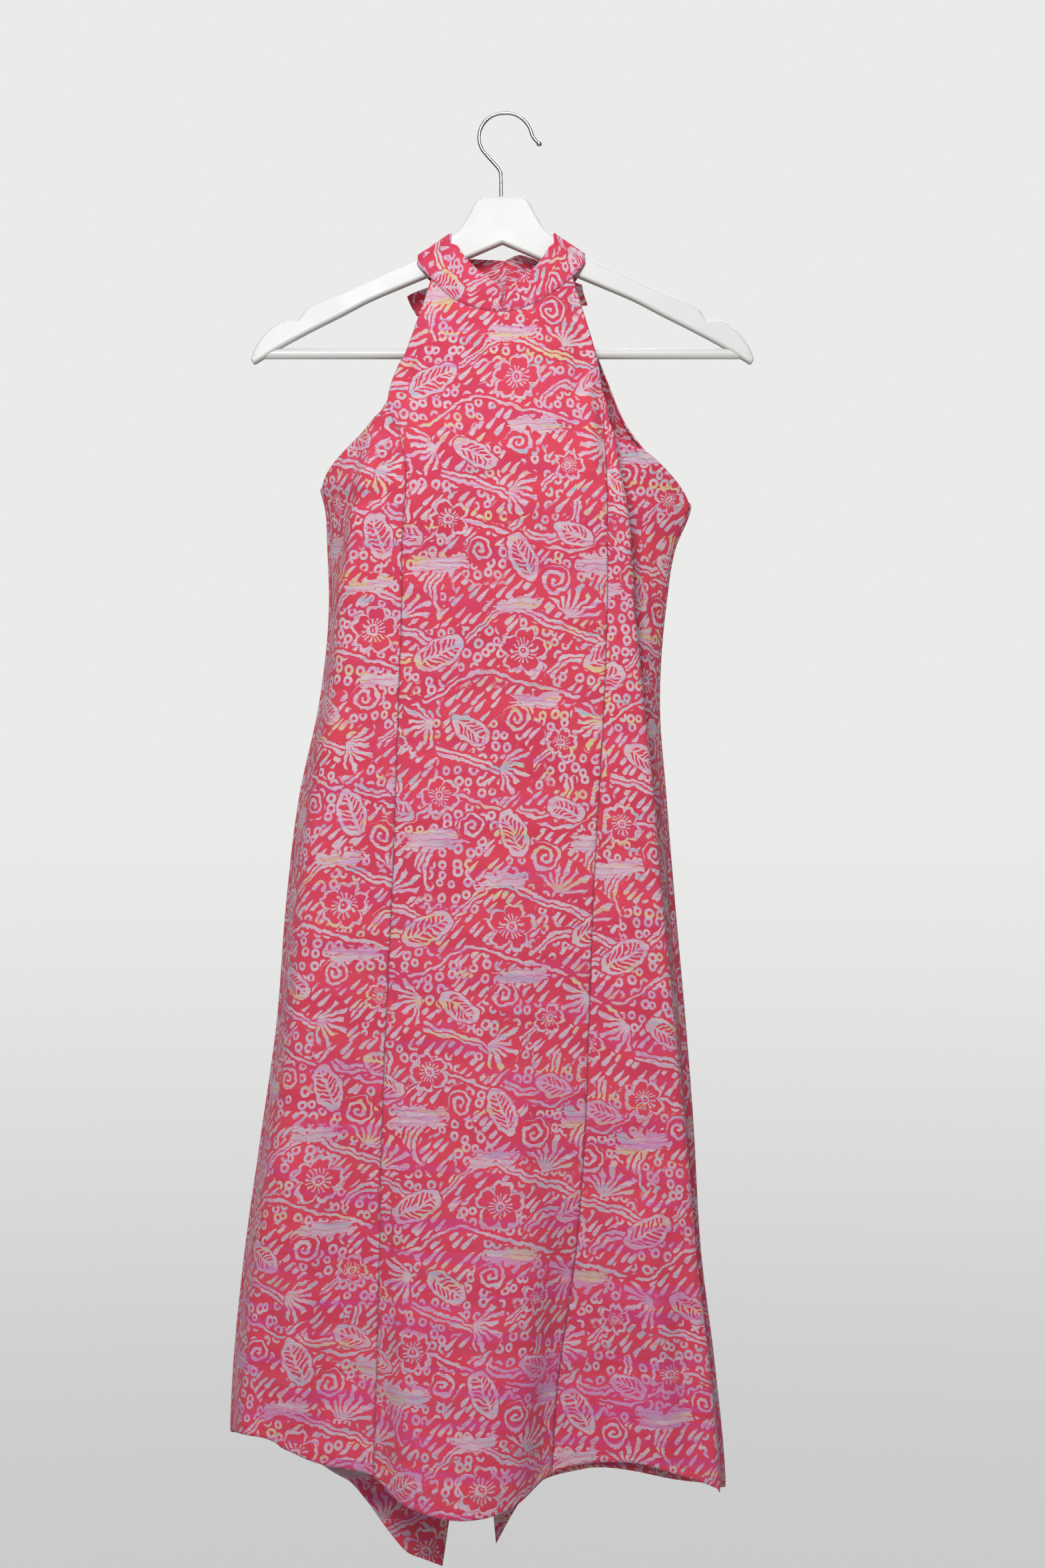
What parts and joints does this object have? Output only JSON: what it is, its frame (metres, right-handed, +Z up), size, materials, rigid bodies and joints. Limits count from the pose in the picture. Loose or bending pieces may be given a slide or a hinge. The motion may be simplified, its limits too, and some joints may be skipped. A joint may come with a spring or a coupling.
{
  "type": "halter dress on a hanger",
  "caption": "Sleeveless halter dress with a stand collar, shaped front panels, a bow at the nape and a vented back, hanging on a flat painted wooden hanger.",
  "frame": {"origin": "the point inside the hook's crown that bears on whatever the hanger hangs from", "axes": "+X the viewer's right, which is the wearer's left; -Y the front of the dress; +Z up"},
  "size_m": [0.4614, 0.1404, 1.2895],
  "materials": {
    "printed_cotton": "matt plain-weave cotton, wax-resist print",
    "painted_wood": "white satin paint",
    "chromed_steel": "bright wire"
  },
  "bodies": {
    "root": {"front_centre": "printed_cotton", "front_side_wearers_right": "printed_cotton", "front_side_wearers_left": "printed_cotton", "back_wearers_right": "printed_cotton", "back_wearers_left": "printed_cotton", "collar_wearers_right": "printed_cotton", "collar_wearers_left": "printed_cotton", "tie_knot": "printed_cotton", "tie_loop_wearers_right": "printed_cotton", "tie_loop_wearers_left": "printed_cotton", "tie_tail_wearers_right": "printed_cotton", "tie_tail_wearers_left": "printed_cotton", "hanger_body": "painted_wood", "hanger_bar": "painted_wood", "hanger_hook": "chromed_steel"}
  },
  "joints": []
}
